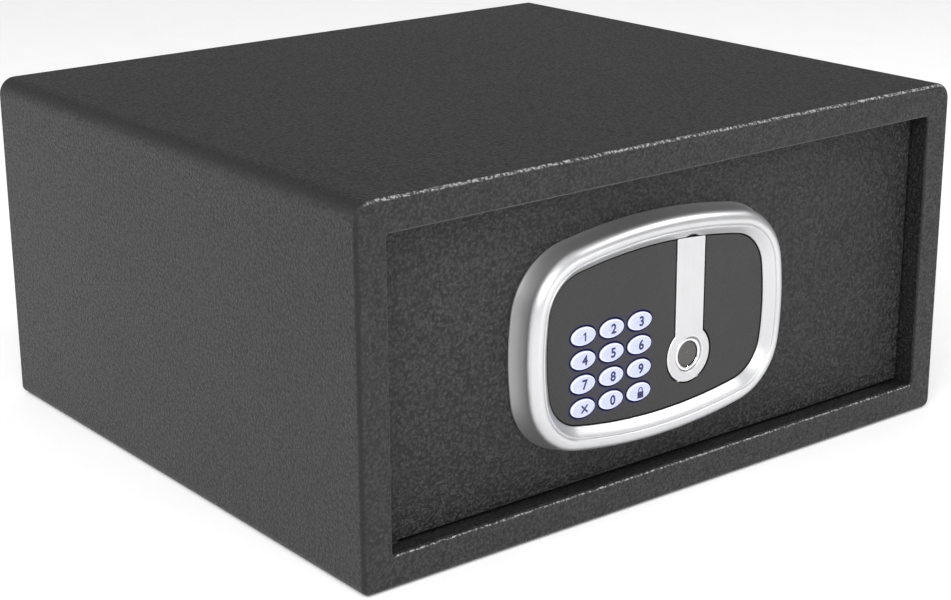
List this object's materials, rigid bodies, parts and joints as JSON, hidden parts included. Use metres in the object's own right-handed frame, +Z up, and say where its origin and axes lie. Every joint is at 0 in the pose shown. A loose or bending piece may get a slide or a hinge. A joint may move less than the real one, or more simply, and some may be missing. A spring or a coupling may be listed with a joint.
{
  "type": "in-room electronic safe",
  "caption": "Low steel room safe with a recessed hinged door, an oval keypad unit with a flip-down override cover, and motor-driven locking bolts.",
  "frame": {"origin": "centre of the footprint on the underside of the steel body", "axes": "+X to the right of someone facing the door, +Y from the door to the back, +Z up"},
  "size_m": [0.42, 0.3744, 0.2],
  "materials": {
    "powder_coat": "fine leather-textured matt powder coat",
    "zinc_steel": "bright zinc plate",
    "felt": "needled felt",
    "silver_bezel": "satin silver paint on moulded plastic",
    "panel_film": "satin charcoal",
    "cover_satin": "satin silver",
    "chrome": "polished",
    "dark_lens": "smoked, polished",
    "keycap": "translucent, lit from behind",
    "silicone": "matt",
    "black_plastic": "fine spark-eroded texture",
    "circuit_board": "green solder mask",
    "brass": "satin, nickel flashed in places",
    "nylon": "natural",
    "gear_brass": "machined",
    "rack_steel": "sawn and plated",
    "battery_wrap": "printed shrink film",
    "spring_steel": "nickel plated",
    "button_red": "moulded",
    "cable": "insulated leads and grey ribbon"
  },
  "bodies": {
    "cabinet": {"body_shell": "powder_coat", "rear_panel": "powder_coat", "door_frame": "powder_coat", "hinge_brackets": "zinc_steel", "hinge_pins": "zinc_steel", "strike_plate": "zinc_steel", "floor_mat": "felt"},
    "door": {"door_plate": "powder_coat", "hinge_lugs": "powder_coat", "hinge_washers": "black_plastic", "unit_bezel": "silver_bezel", "face_panel": "panel_film", "port_ring": "chrome", "port_lens": "dark_lens", "keypad_mat": "silicone", "unit_base": "black_plastic", "keypad_board": "circuit_board", "display_module": "black_plastic", "unit_screws": "zinc_steel", "lock_cylinder": "brass", "cylinder_nut": "brass", "lock_chassis": "zinc_steel", "bolt_bushes": "nylon", "rack_guide": "nylon", "gear_motor": "zinc_steel", "motor_bracket": "zinc_steel", "limit_switches": "black_plastic", "chassis_screws": "zinc_steel", "inner_cover": "black_plastic", "cover_screws": "zinc_steel", "battery_box": "black_plastic", "batteries": "battery_wrap", "battery_contacts": "spring_steel", "control_board": "circuit_board", "board_posts": "brass", "door_wiring": "cable", "hatch_pin": "zinc_steel"},
    "bolts": {"live_bolts": "zinc_steel", "bolt_carriage": "zinc_steel", "bolt_screws": "zinc_steel", "bolt_rack": "rack_steel"},
    "pinion": {"drive_pinion": "gear_brass"},
    "flip_cover": {"override_cover": "cover_satin", "cover_pin": "zinc_steel"},
    "key_plug": {"lock_plug": "brass", "override_cam": "zinc_steel"},
    "hatch": {"battery_hatch": "black_plastic"},
    "reset": {"reset_button": "button_red"},
    "button_1": {"key_1": "keycap"},
    "button_2": {"key_2": "keycap"},
    "button_3": {"key_3": "keycap"},
    "button_4": {"key_4": "keycap"},
    "button_5": {"key_5": "keycap"},
    "button_6": {"key_6": "keycap"},
    "button_7": {"key_7": "keycap"},
    "button_8": {"key_8": "keycap"},
    "button_9": {"key_9": "keycap"},
    "button_clear": {"key_clear": "keycap"},
    "button_0": {"key_0": "keycap"},
    "button_lock": {"key_lock": "keycap"}
  },
  "joints": [
    {"name": "door_hinge", "type": "hinge", "parent": "cabinet", "child": "door", "pos_m": [-0.184, -0.169, 0.1], "axis": [0, 0, -1], "range_deg": [0, 95]},
    {"name": "bolt_slide", "type": "slide", "parent": "door", "child": "bolts", "axis": [1, 0, 0], "range_m": [0, 0.015]},
    {"name": "pinion_spin", "type": "hinge", "parent": "door", "child": "pinion", "pos_m": [0.084, -0.1615, 0.089], "axis": [0, 1, 0], "range_deg": [0, 123]},
    {"name": "cover_flip", "type": "hinge", "parent": "door", "child": "flip_cover", "pos_m": [0.0064, -0.1833, 0.0643], "axis": [1, 0, 0], "range_deg": [0, 65]},
    {"name": "key_turn", "type": "hinge", "parent": "door", "child": "key_plug", "pos_m": [0.0064, -0.17, 0.122], "axis": [0, 1, 0], "range_deg": [0, 90]},
    {"name": "hatch_hinge", "type": "hinge", "parent": "door", "child": "hatch", "pos_m": [-0.116, -0.1268, 0.069], "axis": [-1, 0, 0], "range_deg": [0, 110]},
    {"name": "reset_press", "type": "slide", "parent": "door", "child": "reset", "axis": [0, -1, 0], "range_m": [0, 0.0015], "stiffness_N_per_m": 600},
    {"name": "press_1", "type": "slide", "parent": "door", "child": "button_1", "axis": [0, 1, 0], "range_m": [0, 0.0009], "stiffness_N_per_m": 800},
    {"name": "press_2", "type": "slide", "parent": "door", "child": "button_2", "axis": [0, 1, 0], "range_m": [0, 0.0009], "stiffness_N_per_m": 800},
    {"name": "press_3", "type": "slide", "parent": "door", "child": "button_3", "axis": [0, 1, 0], "range_m": [0, 0.0009], "stiffness_N_per_m": 800},
    {"name": "press_4", "type": "slide", "parent": "door", "child": "button_4", "axis": [0, 1, 0], "range_m": [0, 0.0009], "stiffness_N_per_m": 800},
    {"name": "press_5", "type": "slide", "parent": "door", "child": "button_5", "axis": [0, 1, 0], "range_m": [0, 0.0009], "stiffness_N_per_m": 800},
    {"name": "press_6", "type": "slide", "parent": "door", "child": "button_6", "axis": [0, 1, 0], "range_m": [0, 0.0009], "stiffness_N_per_m": 800},
    {"name": "press_7", "type": "slide", "parent": "door", "child": "button_7", "axis": [0, 1, 0], "range_m": [0, 0.0009], "stiffness_N_per_m": 800},
    {"name": "press_8", "type": "slide", "parent": "door", "child": "button_8", "axis": [0, 1, 0], "range_m": [0, 0.0009], "stiffness_N_per_m": 800},
    {"name": "press_9", "type": "slide", "parent": "door", "child": "button_9", "axis": [0, 1, 0], "range_m": [0, 0.0009], "stiffness_N_per_m": 800},
    {"name": "press_clear", "type": "slide", "parent": "door", "child": "button_clear", "axis": [0, 1, 0], "range_m": [0, 0.0009], "stiffness_N_per_m": 800},
    {"name": "press_0", "type": "slide", "parent": "door", "child": "button_0", "axis": [0, 1, 0], "range_m": [0, 0.0009], "stiffness_N_per_m": 800},
    {"name": "press_lock", "type": "slide", "parent": "door", "child": "button_lock", "axis": [0, 1, 0], "range_m": [0, 0.0009], "stiffness_N_per_m": 800}
  ],
  "couplings": [
    {"joint": "pinion_spin", "follows": "bolt_slide", "rad_per_m": 142.86}
  ]
}
